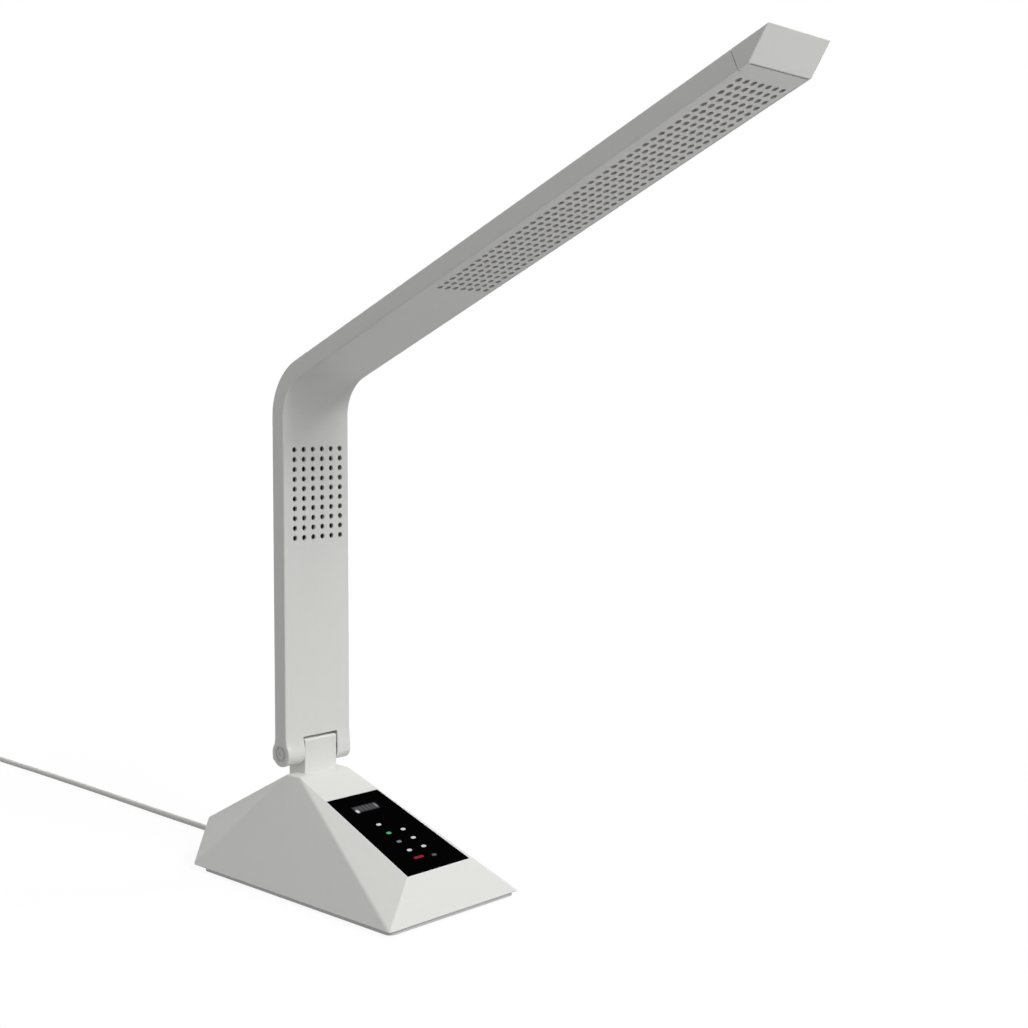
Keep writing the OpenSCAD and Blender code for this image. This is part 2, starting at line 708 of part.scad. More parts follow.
// Sub-parts of the base
module base_shell() color(white) difference() {
    union() {
        difference() {
            faceted_block(base_profile, base_widths);
            faceted_block(cavity_profile, cavity_widths);
        }
        intersection() {
            faceted_block(base_profile, base_widths);
            for (p = boss_spots) translate([p.x, p.y, step_top]) cylinder(d = boss_d, h = top_z);
        }
        cord_rod(cord_boss_r, base_rear - shell_wall, boss_end);
    }
    slope_plate(panel_margin - panel_fit, panel_start - panel_fit, panel_end + panel_fit, -panel_t, over);
    slope_plate(opening_inset, opening_start, opening_end, -board_seat - over, 0);
    for (p = boss_spots) translate([p.x, p.y, 0])
        cylinder(d = base_screw_d + 2 * screw_fit, h = step_top + base_screw_len);
    translate([post_shift, hinge_y + (post_back - post_front) / 2, top_z])
        cube([post_w + 2 * post_fit, post_d + 2 * post_fit, 4 * top_wall], center = true);
    at_post_screws() cylinder(d = small_screw_d + 2 * screw_fit, h = flange_top + post_screw_bite + bore_gap);
    touch_screw_holes();
    cord_rod(gland_stem_r + screw_fit, base_rear - 3 * shell_wall, boss_end + over);
}

// Screw holes from the touch board up into the ledge, stopping short of the panel
module touch_screw_holes() {
    on_slope() for (p = touch_spots) translate([p.x, p.y, -board_seat - board_t - over])
        cylinder(d = touch_screw_d + 2 * screw_fit, h = board_t + over + touch_bite + bore_gap, $fn = 24);
}

module base_plate() color(dark) difference() {
    union() {
        translate([0, plate_mid, pad_t]) rounded_plate(plate_w, plate_len, plate_round, foot_h - pad_t);
        translate([0, (step_front + step_rear) / 2, foot_h - eps])
            rounded_plate(step_w, step_rear - step_front, plate_round, plate_step + eps);
    }
    for (p = boss_spots) translate([p.x, p.y, 0]) {
        cylinder(d = base_screw_d + 2 * screw_fit, h = step_top + over);
        cylinder(d = base_screw_head_d + 4 * screw_fit, h = pad_t + base_screw_head);
    }
    for (y = [-1, 1]) translate([0, y * ballast_screw_y, 0]) {
        cylinder(d = base_screw_d + 2 * screw_fit, h = step_top + over);
        cylinder(d = base_screw_head_d + 4 * screw_fit, h = pad_t + base_screw_head);
    }
}

module foot_pad() color([0.16, 0.16, 0.17]) translate([0, plate_mid, 0])
    rounded_plate(plate_w - 2 * pad_inset, plate_len - 2 * pad_inset, plate_round, pad_t);

module ballast_weight() color(steel) difference() {
    translate([-ballast_w / 2, -ballast_len / 2, ballast_bottom]) cube([ballast_w, ballast_len, ballast_h]);
    for (y = [-1, 1]) translate([0, y * ballast_screw_y, 0])
        cylinder(d = base_screw_d + 2 * screw_fit,
            h = pad_t + base_screw_head + ballast_screw_len + screw_end_gap);
    for (p = standoff_spots) translate([p.x, p.y, ballast_top - board_screw_bite - screw_end_gap])
        cylinder(d = small_screw_d + 2 * screw_fit, h = ballast_h, $fn = 24);
}

module ballast_screws() color(steel) for (y = [-1, 1])
    translate([0, y * ballast_screw_y, pad_t + base_screw_head]) rotate([180, 0, 0])
        screw(base_screw_d, ballast_screw_len, base_screw_head_d, base_screw_head);

module base_screws() color(steel) for (p = boss_spots)
    translate([p.x, p.y, pad_t + base_screw_head]) rotate([180, 0, 0])
        screw(base_screw_d, step_top - pad_t - base_screw_head + base_screw_len - screw_end_gap,
            base_screw_head_d, base_screw_head);

module hinge_post() color(white) difference() {
    union() {
        along_hinge(post_shift - post_w / 2, post_shift + post_w / 2) polygon(post_outline);
        translate([post_shift - flange_w / 2, flange_front, flange_top - flange_t])
            cube([flange_w, flange_rear - flange_front, flange_t]);
    }
    x_rod(bush_d + 2 * press_fit, -arm_w, arm_w);
    at_post_screws() cylinder(d = small_screw_d + 2 * screw_fit, h = top_z, $fn = 24);
}

module post_screws() color(steel) at_post_screws() translate([0, 0, flange_top - flange_t])
    rotate([180, 0, 0]) screw(small_screw_d, flange_t + post_screw_bite, small_head_d, small_head);

module post_bush() color(brass) difference() {
    x_rod(bush_d, post_shift - post_w / 2, post_shift + post_w / 2);
    x_rod(pin_d + 2 * pin_fit, -arm_w, arm_w);
}

module control_panel() color([0.02, 0.02, 0.025]) difference() {
    slope_plate(panel_margin, panel_start, panel_end, -panel_t, 0);
    display_shape(window_fit, -panel_t - over, over);
    for (k = white_keys) key_cut(k, key_len);
    key_cut(green_key, key_len);
    key_cut(red_key, red_len);
}

module display_window() color([0.35, 0.37, 0.4]) display_shape(0, -panel_t, 0);

module key_windows() color([0.92, 0.93, 0.95]) for (k = white_keys) key_shape(k, key_len);

module green_window() color([0.3, 0.75, 0.45]) key_shape(green_key, key_len);

module red_window() color([0.75, 0.1, 0.2]) key_shape(red_key, red_len);

module light_guide() color([0.93, 0.93, 0.9]) difference() {
    slope_plate(opening_inset + guide_fit, opening_start + guide_fit, opening_end - guide_fit,
        -board_seat, -panel_t);
    display_shape(lcd_rim + guide_fit, -board_seat - over, 0);
    on_slope() for (k = all_keys) translate([k.x, k.y, -board_seat - over])
        cylinder(d = led_pocket, h = led_pocket_depth, $fn = 24);
}

module lcd_module() color([0.55, 0.58, 0.6]) display_shape(lcd_rim, -board_seat, -panel_t);

module key_leds() color([0.95, 0.95, 0.85]) on_slope() for (k = all_keys)
    translate([k.x - led_size / 2, k.y - led_size / 2, -board_seat]) cube([led_size, led_size, led_height]);

module touch_board() color(board_green) difference() {
    slope_plate(board_inset, board_start, board_end, -board_seat - board_t, -board_seat - board_gap);
    touch_screw_holes();
}

module touch_board_screws() color(steel) on_slope() for (p = touch_spots)
    translate([p.x, p.y, -board_seat - board_t]) rotate([180, 0, 0])
        screw(touch_screw_d, board_t + touch_bite, touch_head_d, small_head);

module main_board() color(board_green) difference() {
    translate([-main_w / 2, main_y - main_len / 2, main_z]) cube([main_w, main_len, board_t]);
    for (p = standoff_spots) translate([p.x, p.y, main_z - over])
        cylinder(d = small_screw_d + 2 * screw_fit, h = board_t + 2 * over, $fn = 24);
}

module main_board_parts() color([0.2, 0.2, 0.22]) translate([0, main_y, main_top]) {
    for (b = main_blocks) translate([b[0], b[1], 0]) cube([b[2], b[3], b[4]]);
    for (c = main_cans) translate([c.x, c.y, 0]) cylinder(d = main_can_d, h = main_can_h);
}

module board_standoffs() color(brass) for (p = standoff_spots)
    translate([p.x, p.y, ballast_top]) difference() {
        cylinder(d = standoff_d, h = standoff_h);
        translate([0, 0, -over])
            cylinder(d = small_screw_d + 2 * screw_fit, h = standoff_h + 2 * over, $fn = 24);
    }

module main_board_screws() color(steel) for (p = standoff_spots) translate([p.x, p.y, main_top])
    screw(small_screw_d, board_t + standoff_h + board_screw_bite, small_head_d, small_head);

// Sub-parts on the cord
module cord_gland() color([0.75, 0.75, 0.74])
    translate([gland_x, 0, gland_z]) rotate([-90, 0, 0]) rotate_extrude() polygon([
        [0, gland_in], [gland_stem_r, gland_in], [gland_stem_r, boss_end], [gland_collar_r, boss_end],
        [gland_collar_r, boss_end + gland_collar], [gland_tail_r, boss_end + gland_collar],
        [gland_tip_r, cord_route[0].y], [0, cord_route[0].y]]);

module cord_run() color([0.78, 0.78, 0.78]) swept_tube(cord_route, cord_r, cord_sides);

module cord_coil() color([0.78, 0.78, 0.78]) swept_tube(coil_path, cord_r, coil_sides);

module coil_tie() color([0.15, 0.15, 0.16])
    translate([coil_centre.x - strap_out - strap_t, coil_centre.y - strap_w / 2, 0]) difference() {
        cube([strap_out - strap_in + 2 * strap_t, strap_w, coil_top + cord_r + strap_gap + strap_t]);
        translate([strap_t, -over, strap_t])
            cube([strap_out - strap_in, strap_w + 2 * over, coil_top + cord_r + strap_gap - strap_t]);
    }

module adapter_body() color(white) {
    translate([coil_start.x - adapter_w / 2, adapter_front, 0]) cube([adapter_w, adapter_len, adapter_h]);
    translate([coil_start.x, coil_centre.y + tail_len, coil_top]) rotate([-90, 0, 0])
        cylinder(r1 = gland_tip_r, r2 = gland_tail_r, h = adapter_front - coil_centre.y - tail_len + eps);
}

module adapter_prongs() color(steel) for (x = [-1, 1])
    translate([coil_start.x + x * prong_gap / 2, adapter_front + adapter_len, coil_top])
        rotate([-90, 0, 0]) rotate_extrude() polygon([
            [0, 0], [prong_d / 2, 0], [prong_d / 2, prong_len - prong_chamfer],
            [prong_d / 2 - prong_chamfer, prong_len], [0, prong_len]]);

// Sub-parts of the arm
module arm_shell() color(white) difference() {
    union() {
        difference() {
            across(arm_w) arm_band(0, arm_t, hinge_z, cap_seam);
            across(cover_space) arm_band(-over, cover_t, knuckle_top, cap_seam + over);
            across(inner_w) arm_band(cover_t - eps, cavity_back, knuckle_top + rabbet_w, cap_seam + over);
        }
        along_hinge(-arm_w / 2, slot_left + over) polygon(cheek_outline(barrel_d, barrel_drop));
        x_rod(disc_d, -arm_w / 2, disc_t - arm_w / 2);
        along_hinge(slot_right - over, arm_w / 2) polygon(cheek_outline(plain_d, plain_drop));
        at_upright() for (p = driver_spots) translate([p.x, p.y, cavity_back - spreader_t])
            cylinder(d = driver_boss_d, h = spreader_t + over);
    }
    translate([slot_left, hinge_y - barrel_d, hinge_z - barrel_d])
        cube([2 * slot_half, 2 * barrel_d, barrel_d + slot_rise]);
    x_rod(bush_d + 2 * press_fit, -arm_w, arm_w);
    x_rod(socket_d, socket_floor, arm_w / 2 + over);
    x_rod(socket_d, -arm_w / 2 - over, -socket_floor);
    at_upright() for (p = driver_spots) translate([p.x, p.y, 0])
        cylinder(d = arm_screw_d + 2 * screw_fit, h = cavity_back + arm_screw_bite + bore_gap, $fn = 24);
    at_head() for (p = led_screws) translate([p.x, p.y, 0])
        cylinder(d = arm_screw_d + 2 * screw_fit, h = cavity_back + arm_screw_bite + bore_gap, $fn = 24);
    at_head() for (x = [-1, 1])
        translate([x * peg_x, cap_seam - peg_len - bore_gap, peg_n]) rotate([-90, 0, 0])
            cylinder(d = peg_d + 2 * screw_fit, h = peg_len + over, $fn = 24);
}

module arm_cover() color(white) difference() {
    across(cover_space - 2 * seam) arm_band(0, cover_t, knuckle_top + seam, cover_end);
    light_holes(cover_t);
    vent_holes(cover_t);
}

module nose_cap() color(white) {
    difference() {
        at_head() rotate([90, 0, 90]) linear_extrude(arm_w, center = true)
            polygon([[cap_seam, 0], [head_len, 0], [head_len + nose_rake, arm_t], [cap_seam, arm_t]]);
        at_head() translate([-cover_space / 2, cap_seam - over, -over])
            cube([cover_space, nose_side - nose_lip + over, cover_t + over]);
        at_head() translate([-inner_w / 2, cap_seam - over, cover_t - eps])
            cube([inner_w, nose_side, cavity_back - cover_t]);
    }
    at_head() for (x = [-1, 1]) translate([x * peg_x, cap_seam - peg_len, peg_n]) rotate([-90, 0, 0])
        cylinder(d = peg_d, h = peg_len + over, $fn = 24);
}

// Hinge hardware, carried by the arm
module hinge_pin() color(steel) {
    x_rod(pin_d, -socket_floor - eps, socket_floor + spring_t + nut_t + pin_end);
    x_rod(pin_head_d, -socket_floor - pin_head_t, -socket_floor);
}

module pin_nut() color(steel) difference() {
    translate([socket_floor + spring_t, hinge_y, hinge_z]) rotate([0, 90, 0])
        cylinder(d = nut_flats / cos(30), h = nut_t, $fn = 6);
    x_rod(pin_d + 2 * press_fit, 0, arm_w);
}

module spring_washer() color(steel) difference() {
    x_rod(pin_head_d, socket_floor, socket_floor + spring_t);
    x_rod(pin_d + 2 * pin_fit, 0, arm_w);
}

module friction_washers() color([0.3, 0.3, 0.32])
    for (from = [slot_left + face_fit, slot_right - face_fit - washer_t]) difference() {
        x_rod(washer_d, from, from + washer_t);
        x_rod(pin_d + 2 * pin_fit, -arm_w, arm_w);
    }

module cheek_bushes() color(brass)
    for (span = [[-socket_floor, slot_left], [slot_right, socket_floor]]) difference() {
        x_rod(bush_d, span[0], span[1]);
        x_rod(pin_d + 2 * press_fit, -arm_w, arm_w);
    }

module hinge_caps() color([0.8, 0.8, 0.79]) for (side = [-1, 1])
    translate([side * cap_seat, hinge_y, hinge_z]) rotate([0, side * 90, 0]) rotate_extrude()
        polygon([[0, 0], [cap_d / 2, 0], [cap_d / 2, cap_t],
            [groove_r, cap_t], [groove_r, cap_t - cap_groove_depth],
            [groove_r - cap_groove, cap_t - cap_groove_depth], [groove_r - cap_groove, cap_t],
            [cap_dimple_r, cap_t], [cap_dimple_r, cap_t - cap_dimple], [0, cap_t - cap_dimple]]);

// Lights and electronics in the arm
module heat_spreader() color([0.75, 0.76, 0.78]) difference() {
    at_head() translate([-arm_board_w / 2, led_start, cavity_back - spreader_t])
        cube([arm_board_w, led_end - led_start, spreader_t]);
    at_head() screw_bores(led_screws);
}

module screw_bores(spots) {
    for (p = spots) translate([p.x, p.y, 0]) cylinder(d = arm_screw_d + 2 * screw_fit, h = arm_t, $fn = 24);
}

module led_board() color([0.12, 0.14, 0.13]) difference() {
    at_head() translate([-arm_board_w / 2, led_start, board_front])
        cube([arm_board_w, led_end - led_start, board_t]);
    at_head() screw_bores(led_screws);
}

module led_packages() color([0.95, 0.85, 0.5]) at_head() for (i = [0:led_cols - 1], j = [0:led_rows - 1])
    translate([(i - (led_cols - 1) / 2) * led_pitch - led_wide / 2,
        led_first + j * (led_last - led_first) / (led_rows - 1), board_front - led_t])
        cube([led_wide, led_long, led_t]);

module led_board_screws() color(steel) at_head() for (p = led_screws) translate([p.x, p.y, board_front])
    rotate([180, 0, 0]) screw(arm_screw_d, arm_screw_len, arm_screw_head_d, arm_screw_head);

module driver_board() color(board_green) difference() {
    at_upright() translate([-arm_board_w / 2, driver_z, board_front])
        cube([arm_board_w, driver_len, board_t]);
    at_upright() screw_bores(driver_spots);
}

module driver_parts() color([0.22, 0.22, 0.24]) at_upright() for (b = driver_blocks)
    translate([b[0], driver_z + b[1], board_front - b[4]]) cube([b[2], b[3], b[4]]);

module driver_screws() color(steel) at_upright() for (p = driver_spots) translate([p.x, p.y, board_front])
    rotate([180, 0, 0]) screw(arm_screw_d, arm_screw_len, arm_screw_head_d, arm_screw_head);

module arm_lead() color([0.85, 0.85, 0.82])
    across(lead_w) arm_band(board_front - lead_t, board_front, driver_end - lead_lap, led_start + lead_lap);

base_shell();
base_plate();
foot_pad();
ballast_weight();
ballast_screws();
base_screws();
hinge_post();
post_screws();
post_bush();
control_panel();
display_window();
key_windows();
green_window();
red_window();
light_guide();
lcd_module();
key_leds();
touch_board();
touch_board_screws();
main_board();
main_board_parts();
board_standoffs();
main_board_screws();
cord_gland();
cord_run();
cord_coil();
coil_tie();
adapter_body();
adapter_prongs();
arm_shell();
arm_cover();
nose_cap();
hinge_pin();
pin_nut();
spring_washer();
friction_washers();
cheek_bushes();
hinge_caps();
heat_spreader();
led_board();
led_packages();
led_board_screws();
driver_board();
driver_parts();
driver_screws();
arm_lead();
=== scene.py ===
import json
import math

import bmesh
import bpy
import numpy as np
from mathutils import Matrix, Vector


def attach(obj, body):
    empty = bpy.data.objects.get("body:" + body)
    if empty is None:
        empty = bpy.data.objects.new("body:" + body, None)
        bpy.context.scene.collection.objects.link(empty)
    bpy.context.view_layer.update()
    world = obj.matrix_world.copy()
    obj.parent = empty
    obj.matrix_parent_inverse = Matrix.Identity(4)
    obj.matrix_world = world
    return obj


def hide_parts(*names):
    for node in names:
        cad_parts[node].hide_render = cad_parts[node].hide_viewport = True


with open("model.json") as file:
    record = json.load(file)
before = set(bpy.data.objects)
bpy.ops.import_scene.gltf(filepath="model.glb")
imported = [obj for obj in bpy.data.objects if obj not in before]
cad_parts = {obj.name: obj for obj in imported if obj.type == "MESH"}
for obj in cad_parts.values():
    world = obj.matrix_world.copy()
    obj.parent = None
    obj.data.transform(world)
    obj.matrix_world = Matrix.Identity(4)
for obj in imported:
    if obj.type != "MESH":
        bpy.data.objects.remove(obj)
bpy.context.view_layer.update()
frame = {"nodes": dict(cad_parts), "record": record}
nodes = frame["nodes"]
scene = bpy.context.scene
scene.view_settings.view_transform = "Standard"
mm = 0.001  # pieces are set out in mm, and the scene is in metres
print("lamp: frame loaded,", len(nodes), "nodes")

# Camera at the photograph's viewing angle
cameraSettings = {
    "place": (-0.57765, -0.67005, 0.28229),
    "yaw": 43.228,  # degrees from +X towards +Y
    "pitch": 4.533,  # degrees down
    "roll": 0.185,  # degrees
    "lens": 54.838,  # mm
    "sensor": 36.0,  # mm
    "clip": (0.01, 60),  # metres
}


def makeCamera(settings):
    data = bpy.data.cameras.new("photoCamera")
    data.sensor_fit = "HORIZONTAL"
    data.sensor_width = settings["sensor"]
    data.lens = settings["lens"]
    data.clip_start, data.clip_end = settings["clip"]
    camera = bpy.data.objects.new("photoCamera", data)
    scene.collection.objects.link(camera)
    yaw, pitch, roll = [math.radians(settings[key]) for key in ("yaw", "pitch", "roll")]
    ahead = Vector((math.cos(yaw) * math.cos(pitch), math.sin(yaw) * math.cos(pitch), -math.sin(pitch)))
    right = Vector((math.sin(yaw), -math.cos(yaw), 0))
    up = right.cross(ahead)
    rolledRight = right * math.cos(roll) + up * math.sin(roll)
    rolledUp = up * math.cos(roll) - right * math.sin(roll)
    turn = Matrix((rolledRight, rolledUp, -ahead)).transposed().to_4x4()
    camera.matrix_world = Matrix.Translation(settings["place"]) @ turn
    scene.camera = camera


makeCamera(cameraSettings)
print("lamp: camera made")

# Supply cord: the run on the desk, then the coil, in one line from the gland to the adapter
cordSettings = {
    "route": [
        (3, 112, 9), (3, 115.5, 9), (3, 119, 8.9), (3.05, 122.5, 8.4), (3.1, 126, 7.5), (3.3, 129.5, 6.2),
        (3.6, 133, 4.7), (3.9, 136.5, 3.4), (4.3, 140, 2.5), (4.6, 144, 2), (4.9, 149, 1.9), (5.1, 156, 1.9),
        (5.2, 164, 1.9), (5.3, 173, 1.9), (5.4, 184, 1.9), (5.6, 195, 1.9),
        (5.8, 206, 1.9), (6.1, 217, 1.9), (6.4, 228, 1.9), (6.6, 239, 1.9), (6.9, 250, 1.9), (7.1, 261, 1.9),
        (7.3, 272, 1.9), (7.5, 283, 1.9), (7.7, 294, 1.9), (7.8, 305, 1.9), (7.9, 316, 1.9), (8, 327, 1.9),
        (8.1, 338, 1.9), (8.2, 349, 1.9), (8.2, 360, 1.9), (8.2, 371, 1.9), (8.1, 382, 1.9), (8, 393, 1.9),
        (7.9, 404, 1.9), (7.8, 414, 2.1), (7.7, 424, 2.5), (7.7, 434, 2.9), (7.7, 440, 3), (7.7, 446, 3)],
    "diameter": 3.6,
    "middleRadius": 20,
    "turns": 9,
    "step": 5,  # from one turn to the next
    "rise": 4.2,  # from one layer to the next
    "layers": 4,
    "climb": 0.5,  # part of a turn between two layers
    "ringPoints": 24,
    "leadIn": 4,
    "tail": 19,
    "bevelSteps": 4,
}


def coilLine(settings):
    start = Vector(settings["route"][-1])
    climb = settings["climb"]
    layers = settings["layers"]
    layerTurns = (settings["turns"] - climb * (layers - 1)) / layers
    inner = settings["middleRadius"] - settings["step"] * layerTurns / 2
    outer = settings["middleRadius"] + settings["step"] * layerTurns / 2
    centre = Vector((start.x - outer, start.y + settings["leadIn"], start.z))
    points = []
    for index in range(settings["turns"] * settings["ringPoints"] + 1):
        turns = index / settings["ringPoints"]
        layer = min(math.floor(turns / (layerTurns + climb)), layers - 1)
        along = turns - layer * (layerTurns + climb)
        share = min(along / layerTurns, 1)
        climbed = max(along - layerTurns, 0) / climb
        radius = outer + (inner - outer) * share if layer % 2 == 0 else inner + (outer - inner) * share
        height = settings["rise"] * (layer + (1 - math.cos(math.pi * climbed)) / 2)
        angle = 2 * math.pi * turns
        points.append(centre + Vector((radius * math.cos(angle), radius * math.sin(angle), height)))
    top = points[-1].z
    points.append(Vector((start.x, centre.y + settings["diameter"], top)))
    points.append(Vector((start.x, centre.y + settings["tail"], top)))
    return points, centre, inner, outer, top


def makeCord(settings):
    coil, centre, inner, outer, top = coilLine(settings)
    points = [Vector(point) * mm for point in settings["route"]] + [point * mm for point in coil]
    data = bpy.data.curves.new("supplyCord", "CURVE")
    data.dimensions = "3D"
    data.bevel_depth = 1.0  # times each point's radius
    data.bevel_resolution = settings["bevelSteps"]
    data.use_fill_caps = True
    spline = data.splines.new("POLY")
    spline.points.add(len(points) - 1)
    for target, point in zip(spline.points, points):
        target.co = (point.x, point.y, point.z, 1)
        target.radius = settings["diameter"] * mm / 2
    spline.use_smooth = True
    cord = bpy.data.objects.new("supplyCord", data)
    scene.collection.objects.link(cord)
    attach(cord, "base")
    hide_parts("cord_run", "cord_coil")
    length = sum((b - a).length for a, b in zip(points, points[1:]))
    return cord, length, (centre, inner, outer, top)


supplyCord, cordLength, coilPlace = makeCord(cordSettings)
print("lamp: cord is", round(cordLength, 3), "m long")


# Shader maths as plain expressions on sockets
class Wire:
    def __init__(self, tree, socket):
        self.tree = tree
        self.socket = socket

    def maths(self, operation, first, second=0.0):
        made = self.tree.nodes.new("ShaderNodeMath")
        made.operation = operation
        plugIn(self.tree, made.inputs[0], first)
        plugIn(self.tree, made.inputs[1], second)
        return Wire(self.tree, made.outputs[0])

    def __add__(self, other):
        return self.maths("ADD", self, other)

    def __radd__(self, other):
        return self.maths("ADD", other, self)

    def __sub__(self, other):
        return self.maths("SUBTRACT", self, other)

    def __rsub__(self, other):
        return self.maths("SUBTRACT", other, self)

    def __mul__(self, other):
        return self.maths("MULTIPLY", self, other)

    def __rmul__(self, other):
        return self.maths("MULTIPLY", other, self)

    def __truediv__(self, other):
        return self.maths("DIVIDE", self, other)

    def __rtruediv__(self, other):
        return self.maths("DIVIDE", other, self)

    def __pow__(self, other):
        return self.maths("POWER", self, other)

    def __rpow__(self, other):
        return self.maths("POWER", other, self)

    def __lt__(self, other):
        return self.maths("LESS_THAN", self, other)

    def __gt__(self, other):
        return self.maths("GREATER_THAN", self, other)

    def atMost(self, other):
        return self.maths("MINIMUM", self, other)

    def atLeast(self, other):
        return self.maths("MAXIMUM", self, other)

    def away(self):
        return self.maths("ABSOLUTE", self)


def plugIn(tree, target, value):
    if isinstance(value, Wire):
        tree.links.new(value.socket, target)
    else:
        target.default_value = value


# Sockets for colours on a Mix node, which has a set for each kind of data
mixSockets = {"share": 0, "first": 6, "second": 7, "result": 2}


class Finish:
    def __init__(self, name, tree=None):
        self.material = None
        if tree is None:
            self.material = bpy.data.materials.new(name)
            self.material.use_nodes = True
            tree = self.material.node_tree
        self.tree = tree
        self.tree.nodes.clear()

    # Any node: its type, its settings first, then the values or links of its sockets
    def node(self, kind, settings=None, sockets=None, output=0):
        made = self.tree.nodes.new(kind)
        for name, value in (settings or {}).items():
            setattr(made, name, value)
        for name, value in (sockets or {}).items():
            plugIn(self.tree, made.inputs[name], value)
        if isinstance(output, tuple):
            return [Wire(self.tree, made.outputs[name]) for name in output]
        return Wire(self.tree, made.outputs[output]) if made.outputs else None

    def place(self):
        return self.node("ShaderNodeTexCoord", output="Object")

    def axes(self):
        return self.node("ShaderNodeSeparateXYZ", None, {"Vector": self.place()}, ("X", "Y"))

    def grain(self, scale, detail, stretch=(1, 1, 1)):
        spread = self.node("ShaderNodeMapping", None, {"Vector": self.place(), "Scale": stretch})
        return self.node("ShaderNodeTexNoise", None, {"Vector": spread, "Scale": scale, "Detail": detail})

    def bands(self, direction, scale, distortion, detail):
        settings = {"wave_type": "BANDS", "bands_direction": direction}
        return self.node("ShaderNodeTexWave", settings, {
            "Vector": self.place(), "Scale": scale, "Distortion": distortion, "Detail": detail})

    def blend(self, share, first, second):
        sockets = {mixSockets["share"]: share, mixSockets["first"]: first, mixSockets["second"]: second}
        return self.node("ShaderNodeMix", {"data_type": "RGBA"}, sockets, mixSockets["result"])

    def bump(self, height, strength, distance):
        return self.node("ShaderNodeBump", None,
                         {"Strength": strength, "Distance": distance, "Height": height})

    def surface(self, sockets):
        shader = self.node("ShaderNodeBsdfPrincipled", None, sockets)
        self.node("ShaderNodeOutputMaterial", None, {"Surface": shader})
        return self.material


def tone(red, green, blue):
    # sRGB values of 0 to 255 as a linear colour
    def linear(value):
        share = value / 255
        return share / 12.92 if share <= 0.04045 else ((share + 0.055) / 1.055) ** 2.4
    return (linear(red), linear(green), linear(blue), 1.0)


# Moulded plastic: a fine spark-eroded grain, faint flow marks and uneven satin
plasticSettings = {
    "flowMarks": {"scale": 9, "detail": 3, "stretch": (1, 1, 0.35)},
    "fine": {"scale": 1 / (0.35 * mm), "detail": 2},
    "speckle": {"scale": 260, "detail": 2},
    "flowShare": 0.5,
    "smoother": 0.04,  # taken off the roughness, to which speckle and grain add
    "speckleRough": 0.05,
    "fineRough": 0.03,
    "index": 1.49,
    "specular": 0.35,
    "relief": {"strength": 0.35, "distance": 0.012 * mm},
}


def mouldedPlastic(name, light, shade, rough):
    settings = plasticSettings
    made = Finish(name)
    flowMarks = made.grain(**settings["flowMarks"])
    fine = made.grain(**settings["fine"])
    speckle = made.grain(**settings["speckle"])
    flow = settings["flowShare"]
    share = (flowMarks * flow + speckle * (1 - flow)).atMost(1.0)
    satin = rough - settings["smoother"]
    return made.surface({
        "Base Color": made.blend(share, light, shade),
        "Roughness": satin + speckle * settings["speckleRough"] + fine * settings["fineRough"],
        "IOR": settings["index"],
        "Specular IOR Level": settings["specular"],
        "Normal": made.bump(fine, **settings["relief"]),
    })


# Rubber of the foot pad, a little dusty
rubberSettings = {
    "fine": {"scale": 1400, "detail": 3},
    "dust": {"scale": 60, "detail": 4},
    "dustRough": 0.1,
    "specular": 0.2,
    "relief": {"strength": 0.5, "distance": 0.03 * mm},
}


def softRubber(name, light, shade, rough):
    settings = rubberSettings
    made = Finish(name)
    fine = made.grain(**settings["fine"])
    dust = made.grain(**settings["dust"])
    return made.surface({
        "Base Color": made.blend(dust, light, shade),
        "Roughness": rough + dust * settings["dustRough"],
        "Specular IOR Level": settings["specular"],
        "Normal": made.bump(fine, **settings["relief"]),
    })


# Turned, cast or rolled metal: fine streaks and faint stains
metalSettings = {
    "streaks": {"scale": 420, "detail": 3},
    "stain": {"scale": 45, "detail": 3},
    "streakRough": 0.14,
    "relief": {"strength": 0.2, "distance": 0.01 * mm},
}


def turnedMetal(name, light, shade, rough, stretch=(1, 1, 1)):
    settings = metalSettings
    made = Finish(name)
    streaks = made.grain(stretch=stretch, **settings["streaks"])
    stain = made.grain(**settings["stain"])
    return made.surface({
        "Base Color": made.blend(stain, light, shade),
        "Metallic": 1.0,
        "Roughness": rough + streaks * settings["streakRough"],
        "Normal": made.bump(streaks, **settings["relief"]),
    })


# Circuit board: tracks under a lacquer
boardSettings = {
    "rows": {"offset": 0.37, "squash": 1.6},
    "trackScale": 160.0,
    "trackGap": 0.03,
    "fine": {"scale": 900, "detail": 2},
    "rough": 0.38,
    "fineRough": 0.12,
    "relief": {"strength": 0.15, "distance": 0.02 * mm},
}


def circuitBoard(name, light, shade):
    settings = boardSettings
    made = Finish(name)
    tracks = made.node("ShaderNodeTexBrick", settings["rows"], {
        "Vector": made.place(), "Scale": settings["trackScale"], "Mortar Size": settings["trackGap"],
        "Color1": light, "Color2": shade, "Mortar": shade})
    fine = made.grain(**settings["fine"])
    return made.surface({
        "Base Color": tracks,
        "Roughness": settings["rough"] + fine * settings["fineRough"],
        "Normal": made.bump(fine, **settings["relief"]),
    })


# Touch panel: black sheet, polished, with a trace of wiping marks
panelSettings = {
    "wiped": {"scale": 70, "detail": 4, "stretch": (1, 0.25, 0.25)},
    "deepTone": tone(3, 3, 4),
    "wipedTone": tone(6, 6, 7),
    "rough": 0.16,
    "wipedRough": 0.1,
    "relief": {"strength": 0.05, "distance": 0.02 * mm},
}


def panelSheet(name):
    settings = panelSettings
    made = Finish(name)
    wiped = made.grain(**settings["wiped"])
    return made.surface({
        "Base Color": made.blend(wiped, settings["deepTone"], settings["wipedTone"]),
        "Roughness": settings["rough"] + wiped * settings["wipedRough"],
        "Specular IOR Level": 0.0,
        "Normal": made.bump(wiped, **settings["relief"]),
    })


